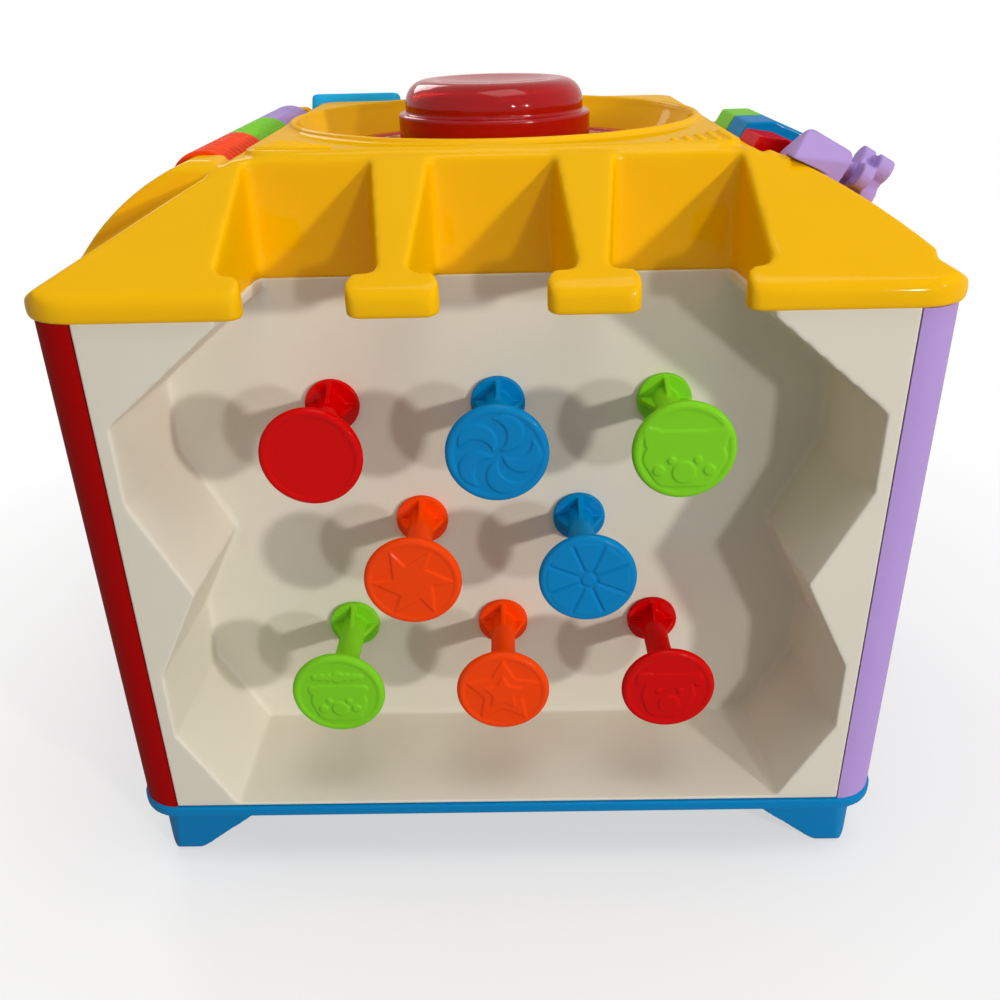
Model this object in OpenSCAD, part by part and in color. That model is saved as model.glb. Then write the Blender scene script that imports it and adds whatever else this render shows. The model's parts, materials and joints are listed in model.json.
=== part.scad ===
// Activity cube for toddlers: a peg wall with ball lanes at the front, a sloped
// roof with rollers, keys and a turning knob, and a big push dome on top.
// Millimetres. X to the right, Y to the rear, Z up, origin on the floor under the centre.

/* [Body] */
// Width across the side panels
body_w = 304; // [298:1:320]
// Depth from the front panel to the rear panel
body_d = 292; // [288:1:316]
// Radius of the upright corners
corner_r = 16.5; // [14:0.5:18]
// Wall thickness of the panels
wall = 2.6; // [2:0.1:3.4]
// Gap at the seam between neighbouring panels
seam = 0.2; // [0.1:0.05:0.4]
// Height of the panels between base and roof
panel_h = 204.5; // [200:0.5:216]

/* [Base] */
// Height of the feet below the base plate
foot_h = 27.5; // [24:0.5:32]
// Plan length of one foot along each side
foot_len = 53; // [46:1:58]
// Width of a foot at the floor before its edges are rounded
foot_flat = 11; // [10:0.5:14]
// Thickness of the base plate
base_t = 5; // [4:0.1:6]
// Overhang of the base plate past the panels
base_over = 1; // [0.5:0.1:2]
// Height of the upstand that locates the panels
upstand_h = 9; // [6:0.5:14]
// Radius of the base screws
base_screw_r = 1.6; // [1.2:0.1:2]
// Radius of the base screw heads
base_screw_head_r = 3.2; // [2.8:0.1:3.8]

/* [Peg wall] */
// Depth of the recess behind the front panel
recess_d = 53; // [48:0.5:58]
// Narrowing of the recess towards its back wall
recess_draft = 3; // [1:0.5:5]
// Width of the recess at its open top
mouth_w = 174; // [170:1:178]
// Widest width of the recess
bulge_w = 259; // [250:1:260]
// Width of the recess at its waist
waist_w = 223; // [210:1:232]
// Width of the recess at its floor
floor_w = 220; // [206:1:232]
// Height of the tray lip above the base
lip_h = 1.6; // [1:0.1:4]
// Start of the lower bulge above the base
low_bulge_z = 37; // [32:1:42]
// Straight height of each bulge
bulge_h = 29.5; // [24:0.5:34]
// Height of the waist above the base
waist_z = 102.5; // [96:0.5:108]
// Start of the upper bulge above the base
high_bulge_z = 139.5; // [132:0.5:144]

/* [Pegs] */
// Sideways spacing of the pegs
peg_pitch = 64; // [58:1:68]
// Spacing of the peg rows
row_pitch = 50.5; // [46:0.5:54]
// Height of the top row above the base
top_row_z = 155.3; // [148:0.5:160]
// Diameter of the peg heads
head_d = 36; // [32:0.5:40]
// Thickness of the peg heads
head_t = 4; // [3:0.1:5]
// Diameter of the peg stems
stem_d = 10; // [8:0.5:13]
// Diameter of the flange at the wall
flange_d = 21; // [18:0.5:25]
// Thickness of the flange
flange_t = 2.4; // [1.8:0.1:3.4]
// Length of the four gussets along the stem
gusset_l = 9; // [6:0.5:12]
// Thickness of the gussets
gusset_t = 1.8; // [1.2:0.1:2.6]
// Set-back of the peg heads from the front face
head_set_back = 2.4; // [1:0.1:5]
// Height of one layer of relief on the peg heads
relief_h = 0.6; // [0.4:0.1:0.9]
// Radius of the screws that hold the pegs
peg_screw_r = 1.5; // [1.2:0.1:1.8]

/* [Roof] */
// Overhang of the roof rim past the panels
rim_over = 1.8; // [1:0.1:3]
// Height of the upright rim
rim_h = 8.5; // [7:0.5:12]
// Fall of the front and rear slopes from the deck to the rim
slope_h = 33.3; // [30:0.1:38]
// Extra fall of the left and right slopes
side_extra = 2.4; // [1:0.1:3]
// Height of the raised deck on top of the slopes
deck_step = 2.2; // [1.4:0.1:3]
// Plan length of the left and right slopes
side_run = 63.3; // [61:0.1:65]
// Plan length of the front and rear slopes
end_run = 54.8; // [52:0.1:55.8]
// Wall of the roof moulding
roof_wall = 3; // [2.4:0.1:3.6]
// Spacing of the two ribs between the ball lanes
rib_pitch = 64; // [60:1:68]
// Width of a rib at its sloped front edge
rib_front_w = 8; // [6:0.5:11]
// Width of a rib at the back wall of the lanes
rib_back_w = 21; // [16:0.5:24]
// Width of the foot below a rib
rib_foot_w = 30; // [26:0.5:32]
// Depth of the feet in the rim
rib_foot_d = 9; // [7:0.5:11]
// Blend radius between ribs and feet
rib_blend_r = 5; // [3:0.5:6]
// Half width of the lane zone at the back wall
lane_back_x = 86; // [84:0.5:87]
// Half width of the lane zone at the front
lane_front_x = 89; // [87:0.5:89.5]
// Inner end of the end feet, from the middle
end_foot_x = 79.7; // [76:0.1:83]

/* [Well and dome] */
// Diameter of the well at the deck
well_d = 166; // [160:1:170]
// Diameter of the well at its floor
well_floor_d = 150; // [144:1:156]
// Depth of the well
well_depth = 14; // [12:0.5:16]
// Height of the raised lip round the well
lip_rise = 1.2; // [0.8:0.1:1.8]
// Width of the lip round the well
lip_w = 3.2; // [2.4:0.1:3.6]
// Diameter of the lower tier of the dome
dome_d = 81; // [77:0.5:85]
// Diameter of the upper tier of the dome
dome_top_d = 75; // [71:0.5:76]
// Height of the step between the tiers above the deck
dome_step_z = 3; // [2:0.1:4]
// Height of the dome above the deck
dome_rise = 15.6; // [13:0.1:18]
// Diameter of the dish in the top
dish_d = 50; // [44:0.5:54]
// Depth of the dish
dish_depth = 1.6; // [1:0.1:2.4]
// Wall of the dome
dome_wall = 2.2; // [1.8:0.1:2.8]
// Press travel of the dome
dome_travel = 4; // [3:0.1:4.5]
// Running clearance of the dome and the keys
press_gap = 0.5; // [0.4:0.05:0.8]

/* [Rollers] */
// Radius of a roller
roller_r = 13; // [11.5:0.1:14]
// Length of a roller
roller_l = 54; // [48:0.5:55]
// Gap at the ends of the rollers
roller_gap = 0.8; // [0.5:0.1:1.2]
// Distance of the roller axis down the slope
roller_s = 18; // [17:0.5:21]
// Depth of the roller axis below the slope
roller_sink = 3.2; // [2:0.1:5]
// Radius of the roller axle
axle_r = 3; // [2.4:0.1:3.6]
// Radial running clearance on pins and axles
pin_gap = 0.06; // [0.04:0.01:0.1]
// Depth of the ring grooves in the rollers
groove_depth = 0.9; // [0.5:0.1:1.4]
// Number of ring grooves in a roller
groove_n = 9; // [5:1:11]
// Radius of the convex cheek beside the rollers
cheek_r = 100; // [85:1:120]
// Height of the convex cheek above the slope
cheek_rise = 8.4; // [6:0.1:9]

/* [Keys] */
// Spacing of the three keys
key_pitch = 25; // [23:0.5:27]
// Gap between two keys
key_gap = 1.2; // [0.8:0.1:2]
// Length of a key down the slope
key_l = 36; // [30:0.5:38]
// Height of the crest of the green and blue keys above the slope
key_h = 11.5; // [9:0.1:13]
// Height of the crest of the red key above the slope
low_key_h = 7.6; // [6:0.1:9]
// Rise of the keys from their crest to their lower end
key_rise = 3; // [2:0.1:4]
// Rear end of the row of keys, from the front of the body
key_rear_y = 137.5; // [134:0.5:140]
// Radius of the key pin
key_pin_r = 1.6; // [1.4:0.1:2]
// Press angle of the keys
key_angle = 5; // [3:0.5:6]

/* [Knob] */
// Middle of the knob along the side, from the front of the body
knob_y = 52.6; // [51.6:0.1:52.8]
// Width of the bearing block
block_w = 16.4; // [14:0.2:16.8]
// Length of the bearing block down the slope
block_l = 19; // [16:0.5:20]
// Height of the bearing block above the slope
block_h = 14.5; // [13.5:0.1:16]
// Thickness of the lobed disc next to the block
inner_lobes_t = 4.5; // [3.5:0.1:5]
// Thickness of the lobed disc at the free end
outer_lobes_t = 5.5; // [4.5:0.1:6]
// Radius of one lobe
lobe_r = 4.3; // [3.8:0.1:4.5]
// Distance of the lobes from the knob axis
lobe_pitch_r = 5.6; // [5:0.1:5.8]
// Radius of the knob shaft
shaft_r = 2.5; // [2:0.1:3]

/* [Rear key] */
// Length of the rear key
bar_l = 46; // [40:1:52]
// Width of the rear key down the slope
bar_w = 15; // [12:0.5:18]
// Height of the rear key above the slope
bar_h = 9; // [7:0.5:11]
// Middle of the rear key from the middle of the cube
bar_x = -73; // [-78:1:-66]
// Distance of the rear key down the slope
bar_s = 12; // [11:0.5:15]
// Press travel of the rear key
bar_travel = 2.5; // [1.5:0.1:3]

/* [Electronics] */
// Diameter of a battery cell
cell_d = 14.5; // [14:0.1:14.5]
// Length of a battery cell
cell_l = 50.5; // [49:0.5:50.5]
// Number of battery cells
cell_n = 3; // [2:1:4]
// Diameter of the speaker
speaker_d = 50; // [40:1:57]
// Edge of the circuit board past its screws
board_margin = 5; // [4:0.5:8]

/* [Hidden] */
$fn = 64;

yellow = [0.96, 0.72, 0.0];
cream = [0.93, 0.91, 0.85];
red = [0.80, 0.02, 0.02];
blue = [0.02, 0.46, 0.75];
green = [0.45, 0.78, 0.12];
orange = [0.96, 0.30, 0.02];
lilac = [0.70, 0.58, 0.84];
steel = [0.72, 0.72, 0.74];
dark = [0.12, 0.12, 0.13];
board_green = [0.1, 0.4, 0.2];
lamp_white = [0.9, 0.9, 0.9];
cell_grey = [0.2, 0.2, 0.22];

// Small bite that keeps cuts and fused shapes clean
eps = 0.05;
// Distance the cutting shapes run past a face
over = 5;
// Fine gap between pieces that are set into each other
fit_gap = 0.3;

// Levels
base_z = foot_h;
panel_z = base_z + base_t;
roof_z = panel_z + panel_h;
slope_z = roof_z + rim_h;
slope_top_z = slope_z + slope_h;
side_low_z = slope_z - side_extra;
deck_z = slope_top_z + deck_step;
well_z = deck_z - well_depth;
ceil_z = well_z - roof_wall;

// Plan
rim_w = body_w + 2 * rim_over;
rim_d = body_d + 2 * rim_over;
rim_r = corner_r + rim_over;
front_y = -body_d / 2;
keys_end_y = front_y + key_rear_y;
knob_mid_y = front_y + knob_y;
lane_y = front_y + recess_d;
panel_split = body_w / 2 - corner_r;
deck_w = rim_w - 2 * side_run;
deck_d = rim_d - 2 * end_run;
side_angle = atan2(slope_h + side_extra, side_run);
end_angle = atan2(slope_h, end_run);

// Helper shapes

module round_rect(w, d, r) {
    square([w - 2 * r, d], center = true);
    square([w, d - 2 * r], center = true);
    for (x = [-1, 1], y = [-1, 1])
        translate([x * (w / 2 - r), y * (d / 2 - r)])
            circle(r = r);
}

function unit(v) = v / norm(v);
function before(p, i) = p[(i + len(p) - 1) % len(p)];
function after(p, i) = p[(i + 1) % len(p)];
function to_before(p, i) = unit(before(p, i) - p[i]);
function to_after(p, i) = unit(after(p, i) - p[i]);
function half_corner(p, i) = acos(to_before(p, i) * to_after(p, i)) / 2;
function corner_points(p, i, r) =
    r == 0 ? [p[i]] :
    let (cut = r / tan(half_corner(p, i)))
    [p[i] + cut * to_before(p, i), p[i] + cut * to_after(p, i)];
function corner_centre(p, i, r) =
    p[i] + unit(to_before(p, i) + to_after(p, i)) * r / sin(half_corner(p, i));

// Convex outline with its own radius at each corner
module soft_polygon(p, r) {
    polygon([for (i = [0 : len(p) - 1]) each corner_points(p, i, r[i])]);
    for (i = [0 : len(p) - 1])
        if (r[i] > 0)
            translate(corner_centre(p, i, r[i]))
                circle(r = r[i]);
}

// Extrudes an outline drawn in X and Z along Y
module along_y(y0, y1) {
    translate([0, y1, 0])
        rotate([90, 0, 0])
            linear_extrude(height = y1 - y0)
                children();
}

// Extrudes an outline drawn in Y and Z along X
module along_x(x0, x1) {
    translate([x0, 0, 0])
        rotate([90, 0, 90])
            linear_extrude(height = x1 - x0)
                children();
}

// Frame on the right slope: X runs down the slope, Z stands on it
module on_right_slope(s, y) {
    translate([deck_w / 2, y, slope_top_z])
        rotate([0, side_angle, 0])
            translate([s, 0, 0])
                children();
}

module on_left_slope(s, y) {
    mirror([1, 0, 0])
        on_right_slope(s, y)
            children();
}

// Frame on the rear slope: Y runs down the slope, Z stands on it
module on_rear_slope(x, s) {
    translate([x, deck_d / 2, slope_top_z])
        rotate([-end_angle, 0, 0])
            translate([0, s, 0])
                children();
}

// Cylinder along local Y
module y_rod(r, y0, y1) {
    translate([0, y0, 0])
        rotate([-90, 0, 0])
            cylinder(r = r, h = y1 - y0);
}

// Cylinder along local X
module x_rod(r, x0, x1) {
    translate([x0, 0, 0])
        rotate([0, 90, 0])
            cylinder(r = r, h = x1 - x0);
}

// Screw with a round head, pointing up from its head
module screw(r, length, head_r, head_h) {
    translate([0, 0, -eps])
        cylinder(r = r, h = length + eps);
    translate([0, 0, -head_h])
        cylinder(r = head_r, h = head_h);
}

// Base

base_screw_inset = 26;
base_screw_from_foot = 8;
base_screw_l = 16;
base_screw_head_h = 2.4;
post_r = 4.2;
upstand_r = corner_r - wall;
upstand_y = lane_y + 3 * wall;
base_screw_x = body_w / 2 - base_screw_inset;
base_screw_ys = [
    upstand_y + 2 * wall + fit_gap + upstand_r + post_r,
    body_d / 2 - foot_len - base_screw_from_foot
];
post_drop = 2;
box_wall = 2;
box_gap = 1;
contact_room = 4;
cell_gap = 2;
cell_room = 2;
cell_pitch = cell_d + cell_gap;
box_in_w = cell_l + 2 * contact_room;
box_in_d = cell_n * cell_pitch + box_gap;
box_w = box_in_w + 2 * box_wall;
box_d = box_in_d + 2 * box_wall;
box_h = cell_d + 2 * box_wall + cell_room;
box_y = 62;
door_lip = 4;
door_w = box_in_w + 2 * door_lip;
door_d = box_in_d + 2 * door_lip;
door_t = base_t / 2;
door_tab_r = 7;
door_screw_r = 1.4;
door_screw_y = box_y + box_d / 2 + post_r + fit_gap;
door_boss_h = 7;
door_head_r = 2.6;
door_head_h = 1.3;
speaker_y = -30;
speaker_hole_r = 1.5;
speaker_hole_pitch = 7;
speaker_hole_rings = 3;

foot_inset = 5.5;
foot_lean = 1.5;
foot_inner_r = 4;
foot_outer_r = 5;

module foot_outline(half) {
    heel = half - foot_inset;
    toe = heel - foot_lean;
    soft_polygon(
        [[heel, base_z], [half - foot_len, base_z], [toe - foot_flat, 0], [toe, 0]],
        [0, 0, foot_inner_r, foot_outer_r]);
}

module corner_feet() {
    color(blue)
        for (x = [0, 1], y = [0, 1])
            mirror([x, 0, 0])
                mirror([0, y, 0])
                    intersection() {
                        along_y(0, body_d / 2)
                            foot_outline(body_w / 2);
                        along_x(0, body_w / 2)
                            foot_outline(body_d / 2);
                        linear_extrude(height = foot_h)
                            round_rect(body_w - 2 * foot_inset, body_d - 2 * foot_inset,
                                       corner_r - foot_inset);
                    }
}

module base_holes() {
    for (x = [-1, 1], y = base_screw_ys)
        translate([x * base_screw_x, y, base_z - over]) {
            cylinder(r = base_screw_r + fit_gap, h = base_t + upstand_h + 2 * over);
            cylinder(r = base_screw_head_r + fit_gap, h = over + base_screw_head_h + fit_gap);
        }
}

module speaker_holes() {
    translate([0, speaker_y, base_z - over])
        for (ring = [0 : speaker_hole_rings - 1])
            for (i = [0 : max(0, 6 * ring - 1)])
                rotate(ring == 0 ? 0 : i * 60 / ring)
                    translate([ring * speaker_hole_pitch, 0, 0])
                        cylinder(r = speaker_hole_r, h = base_t + 2 * over, $fn = 24);
}

module base_tray() {
    color(blue)
        difference() {
            union() {
                translate([0, 0, base_z])
                    linear_extrude(height = base_t)
                        round_rect(body_w + 2 * base_over, body_d + 2 * base_over, corner_r + base_over);
                translate([0, 0, panel_z - eps])
                    linear_extrude(height = upstand_h + eps)
                        difference() {
                            upstand_outline(wall + fit_gap);
                            upstand_outline(2 * wall + fit_gap);
                        }
                for (x = [-1, 1], y = base_screw_ys)
                    translate([x * base_screw_x, y, panel_z - eps])
                        cylinder(r = post_r, h = eps + upstand_h - post_drop);
                translate([0, door_screw_y, panel_z - eps])
                    cylinder(r = post_r, h = door_boss_h + eps);
            }
            base_holes();
            speaker_holes();
            translate([-box_in_w / 2, box_y - box_in_d / 2, base_z - over])
                cube([box_in_w, box_in_d, base_t + 2 * over]);
            translate([0, 0, base_z - over])
                linear_extrude(height = over + door_t + fit_gap)
                    door_outline(fit_gap);
            translate([0, door_screw_y, base_z])
                cylinder(r = door_screw_r + pin_gap, h = base_t + door_boss_h - box_gap);
        }
}

// Battery door with its screw tab
module door_outline(grow) {
    translate([0, box_y])
        square([door_w + 2 * grow, door_d + 2 * grow], center = true);
    translate([0, door_screw_y])
        circle(r = door_tab_r + grow);
}

// Inside edge of the panels, behind the peg wall
module upstand_outline(inset) {
    y0 = upstand_y + inset;
    y1 = body_d / 2 - inset;
    translate([0, (y0 + y1) / 2])
        round_rect(body_w - 2 * inset, y1 - y0, upstand_r);
}

module base_screws() {
    color(steel)
        for (x = [-1, 1], y = base_screw_ys)
            translate([x * base_screw_x, y, base_z + base_screw_head_h])
                screw(base_screw_r, base_screw_l, base_screw_head_r, base_screw_head_h - fit_gap);
}

// Panels

module panel_ring() {
    translate([0, 0, panel_z])
        linear_extrude(height = panel_h)
            difference() {
                round_rect(body_w, body_d, corner_r);
                round_rect(body_w - 2 * wall, body_d - 2 * wall, corner_r - wall);
            }
}

// Screw post inside a side panel, with its web to the wall
module panel_post(x, y) {
    post_z = panel_z + upstand_h - post_drop + fit_gap;
    post_h = base_screw_l + 2 * over;
    difference() {
        union() {
            translate([x, y, post_z])
                cylinder(r = post_r, h = post_h);
            translate([x, y - wall / 2, post_z])
                cube([body_w / 2 - wall / 2 - x, wall, post_h]);
        }
        translate([x, y, post_z - over])
            cylinder(r = base_screw_r + fit_gap, h = base_screw_l + over);
        translate([body_w / 2 - 2 * wall - 2 * fit_gap, y - over, panel_z - eps])
            cube([wall + 2 * fit_gap, 2 * over, upstand_h + fit_gap + eps]);
    }
}

module side_panel() {
    intersection() {
        panel_ring();
        translate([panel_split, -body_d, 0])
            cube([body_w, 2 * body_d, roof_z]);
    }
    for (y = base_screw_ys)
        panel_post(base_screw_x, y);
}

module left_panel() {
    color(red)
        mirror([1, 0, 0])
            side_panel();
}

// Small dents along the front corner of the right panel
dent_r = 3.2;
dent_depth = 0.8;
dent_z = [38, 108, 178];
dent_edge_gap = 0.5;
dent_y = front_y + corner_r + dent_r + dent_edge_gap;

module right_panel() {
    color(lilac)
        difference() {
            side_panel();
            for (z = dent_z)
                translate([body_w / 2 - dent_depth, dent_y, panel_z + z])
                    x_rod(dent_r, 0, over);
        }
}

module rear_panel() {
    color(cream)
        intersection() {
            panel_ring();
            translate([seam - panel_split, 0, 0])
                cube([2 * (panel_split - seam), body_d, roof_z]);
        }
}

// Peg wall

function recess_side(top) = [
    [floor_w / 2, lip_h],
    [bulge_w / 2, low_bulge_z],
    [bulge_w / 2, low_bulge_z + bulge_h],
    [waist_w / 2, waist_z],
    [bulge_w / 2, high_bulge_z],
    [bulge_w / 2, high_bulge_z + bulge_h],
    [mouth_w / 2, panel_h],
    [mouth_w / 2, panel_h + top]
];

function recess_outline(top) = let (side = recess_side(top)) concat(
    side,
    [for (i = [len(side) - 1 : -1 : 0]) [-side[i][0], side[i][1]]]
);

// Faceted funnel of the peg wall, tapering to the rear
module recess_funnel(depth, grow, top) {
    taper_x = 1 - 2 * recess_draft / bulge_w;
    taper_z = 1 - recess_draft / waist_z;
    translate([0, front_y, panel_z + waist_z])
        rotate([90, 0, 0])
            mirror([0, 0, 1])
                linear_extrude(height = depth, scale = [taper_x, taper_z], slices = 1, segments = 0)
                    translate([0, -waist_z])
                        offset(delta = grow)
                            polygon(recess_outline(top));
}

module front_panel() {
    plate_w = 2 * (panel_split - seam);
    color(cream)
        difference() {
            union() {
                translate([-plate_w / 2, front_y, panel_z])
                    cube([plate_w, wall, panel_h]);
                intersection() {
                    recess_funnel(recess_d + wall, wall, 0);
                    translate([-plate_w / 2, front_y, panel_z])
                        cube([plate_w, recess_d + wall, panel_h]);
                }
            }
            translate([0, -eps, 0])
                recess_funnel(recess_d + eps, 0, over);
            for (p = pegs())
                translate([p[0], 0, p[1]])
                    y_rod(peg_screw_r + fit_gap, lane_y - over, lane_y + over);
        }
}

// Pegs

function pegs() = [
    [-peg_pitch, panel_z + top_row_z],
    [0, panel_z + top_row_z],
    [peg_pitch, panel_z + top_row_z],
    [-peg_pitch / 2, panel_z + top_row_z - row_pitch],
    [peg_pitch / 2, panel_z + top_row_z - row_pitch],
    [-peg_pitch, panel_z + top_row_z - 2 * row_pitch],
    [0, panel_z + top_row_z - 2 * row_pitch],
    [peg_pitch, panel_z + top_row_z - 2 * row_pitch]
];

peg_l = recess_d - head_set_back;
head_bevel = 0.1;
head_sink = 0.5;
head_edge_r = head_t / 2 - head_bevel;
gusset_inset = 1;
peg_screw_l = 14;
peg_screw_head_r = 2.8;
peg_screw_head_h = 2;

// Peg standing on the XY plane, pointing up
module peg_body() {
    difference() {
        union() {
            rotate_extrude()
                peg_profile();
            for (turn = [0 : 90 : 270])
                rotate(turn)
                    rotate([90, 0, 0])
                        linear_extrude(height = gusset_t, center = true)
                            polygon([
                                [0, flange_t - eps], [flange_d / 2 - gusset_inset, flange_t - eps],
                                [stem_d / 2, flange_t + gusset_l], [0, flange_t + gusset_l]]);
        }
        translate([0, 0, -over])
            cylinder(r = peg_screw_r, h = over + peg_screw_l - wall, $fn = 32);
    }
}

// Half section of flange, stem and softly rimmed head
module peg_profile() {
    head_z = peg_l - head_t;
    square([flange_d / 2, flange_t]);
    square([stem_d / 2, head_z + eps]);
    translate([0, head_z])
        square([head_d / 2 - head_edge_r, head_t - head_sink]);
    translate([0, head_z + head_t / 2 - head_edge_r])
        square([head_d / 2 - head_edge_r, head_edge_r]);
    translate([head_d / 2 - head_edge_r, head_z + head_t / 2])
        circle(r = head_edge_r, $fn = 32);
}

module place_peg(i) {
    p = pegs()[i];
    translate([p[0], lane_y, p[1]])
        rotate([90, 0, 0])
            children();
}

// Relief on the peg heads, drawn in shares of the motif's radius

motif_margin = 3;
motif_r = head_d / 2 - motif_margin;
face_z = peg_l - head_sink;

function polar(r, turn) = [r * cos(turn), r * sin(turn)];

module relief(layer) {
    translate([0, 0, face_z + (layer - 1) * relief_h - eps])
        linear_extrude(height = relief_h + eps)
            children();
}

// Five curved blades
swirl_n = 5;
swirl_r = 0.43;
swirl_out = 0.56;
swirl_turn = 40;

module swirl_relief() {
    relief(1) {
        for (i = [0 : swirl_n - 1])
            rotate(i * 360 / swirl_n)
                difference() {
                    translate([swirl_out * motif_r, 0])
                        circle(r = swirl_r * motif_r);
                    rotate(swirl_turn)
                        translate([(swirl_out - 0.06) * motif_r, 0])
                            circle(r = swirl_r * motif_r);
                }
    }
}

// Six slanting blades
pinwheel_n = 6;
pinwheel_in = 0.48;
pinwheel_lean = 50;

module pinwheel_relief() {
    step = 360 / pinwheel_n;
    relief(1)
        polygon(motif_r * [
            for (i = [0 : pinwheel_n - 1])
                each [polar(1, i * step), polar(pinwheel_in, i * step + pinwheel_lean)]]);
}

// Hub and wedges like a cut fruit
wedge_n = 8;
wedge_gap = 1.3;
wedge_in = 0.26;
hub_share = 0.16;

module wheel_relief() {
    relief(1) {
        difference() {
            circle(r = motif_r);
            circle(r = wedge_in * motif_r);
            for (i = [0 : wedge_n - 1])
                rotate((i + 0.5) * 360 / wedge_n)
                    translate([0, -wedge_gap / 2])
                        square([head_d, wedge_gap]);
        }
        circle(r = hub_share * motif_r);
    }
}

// Small star on a large star
star_n = 5;
star_in = 0.52;
small_star = 0.52;

function star(r) = [
    for (i = [0 : star_n - 1])
        each [polar(r, 90 + i * 360 / star_n), polar(r * star_in, 90 + (i + 0.5) * 360 / star_n)]
];

module star_relief() {
    relief(1)
        polygon(star(motif_r));
    relief(2)
        polygon(star(small_star * motif_r));
}

// Animal face: a plate with ears and raised dots, each dot given by its place and radius
ear_radii = [0.08, 0.12, 0.08];

module face_relief(plate, plate_radii, ears, dots) {
    relief(1) {
        soft_polygon(motif_r * plate, motif_r * plate_radii);
        for (ear = ears)
            soft_polygon(motif_r * ear, motif_r * ear_radii);
    }
    relief(2)
        for (dot = dots)
            translate(motif_r * [dot[0], dot[1]])
                circle(r = motif_r * dot[2], $fn = 32);
}

module cub_relief() {
    face_relief(
        [[-0.98, -0.2], [-0.55, -0.88], [0.55, -0.88], [0.98, -0.2], [0.72, 0.52], [-0.72, 0.52]],
        [0.3, 0.4, 0.4, 0.3, 0.25, 0.25],
        [[[-0.9, 0.05], [-0.98, 0.66], [-0.3, 0.45]], [[0.9, 0.05], [0.98, 0.66], [0.3, 0.45]]],
        [[-0.3, -0.2, 0.08], [0.3, -0.2, 0.08], [-0.58, -0.45, 0.12], [0.58, -0.45, 0.12],
         [0, -0.5, 0.26]]);
}

// Face below a row of beads
bead_x = [-0.56, -0.4, -0.21, 0.03, 0.26, 0.43, 0.58];
bead_r = [0.08, 0.1, 0.11, 0.16, 0.11, 0.1, 0.08];

module lamb_relief() {
    face_relief(
        [[-0.72, -0.25], [-0.5, -0.82], [0.5, -0.82], [0.72, -0.25], [0.62, 0.3], [-0.62, 0.3]],
        [0.25, 0.3, 0.3, 0.25, 0.2, 0.2],
        [[[-0.6, -0.05], [-0.95, 0.25], [-0.5, 0.28]], [[0.6, -0.05], [0.95, 0.25], [0.5, 0.28]]],
        [[-0.24, -0.18, 0.07], [0.26, -0.18, 0.07], [-0.42, -0.42, 0.1], [0.44, -0.42, 0.1],
         [0.02, -0.42, 0.2]]);
    relief(1)
        for (i = [0 : len(bead_x) - 1])
            translate(motif_r * [bead_x[i], 0.55])
                circle(r = motif_r * bead_r[i], $fn = 32);
}

module pup_relief() {
    face_relief(
        [[-0.7, -0.2], [-0.45, -0.85], [0.45, -0.85], [0.7, -0.2], [0.5, 0.5], [-0.5, 0.5]],
        [0.3, 0.35, 0.35, 0.3, 0.25, 0.25],
        [[[-0.88, 0.0], [-0.8, 0.55], [-0.3, 0.48]], [[0.88, 0.0], [0.8, 0.55], [0.3, 0.48]]],
        [[-0.26, 0.0, 0.07], [0.28, 0.0, 0.07], [0.02, -0.42, 0.26]]);
}

module peg_red_top() {
    color(red)
        place_peg(0)
            peg_body();
}

module peg_blue_top() {
    color(blue)
        place_peg(1) {
            peg_body();
            swirl_relief();
        }
}

module peg_green_top() {
    color(green)
        place_peg(2) {
            peg_body();
            cub_relief();
        }
}

module peg_orange_mid() {
    color(orange)
        place_peg(3) {
            peg_body();
            pinwheel_relief();
        }
}

module peg_blue_mid() {
    color(blue)
        place_peg(4) {
            peg_body();
            wheel_relief();
        }
}

module peg_green_low() {
    color(green)
        place_peg(5) {
            peg_body();
            lamb_relief();
        }
}

module peg_orange_low() {
    color(orange)
        place_peg(6) {
            peg_body();
            star_relief();
        }
}

module peg_red_low() {
    color(red)
        place_peg(7) {
            peg_body();
            pup_relief();
        }
}

module peg_screws() {
    color(steel)
        for (i = [0 : 7])
            place_peg(i)
                translate([0, 0, -wall])
                    screw(peg_screw_r - pin_gap, peg_screw_l - 2 * fit_gap,
                          peg_screw_head_r, peg_screw_head_h);
}

// Roof

rim_edge_r = 6;
deck_edge_r = 3;
deck_r = 9;
foot_end_r = 0.45 * rib_foot_d;
hollow_x = body_w / 2 - 3 * wall;
hollow_y = body_d / 2 - 3 * wall;

function roof_outline(half, top, low) = [
    [-half, roof_z], [half, roof_z], [half, low], [top, slope_top_z],
    [-top, slope_top_z], [-half, low]
];
roof_radii = [0, 0, rim_edge_r, deck_edge_r, deck_edge_r, rim_edge_r];

// Section of the roof from front to rear
module end_profile() {
    soft_polygon(roof_outline(rim_d / 2, deck_d / 2, slope_z), roof_radii);
}

module roof_block() {
    intersection() {
        along_y(-rim_d / 2 - over, rim_d / 2 + over)
            soft_polygon(roof_outline(rim_w / 2, deck_w / 2, side_low_z), roof_radii);
        along_x(-rim_w / 2 - over, rim_w / 2 + over)
            end_profile();
        translate([0, 0, roof_z])
            linear_extrude(height = rim_h + slope_h + over)
                round_rect(rim_w, rim_d, rim_r);
    }
}

// Height of the inner face of a slope at a distance from the middle
function inner_slope(at, edge, angle) = slope_top_z - roof_wall / cos(angle) - (at - edge) * tan(angle);
function inner_reach(z, edge, angle) = edge + (slope_top_z - roof_wall / cos(angle) - z) / tan(angle);

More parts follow.
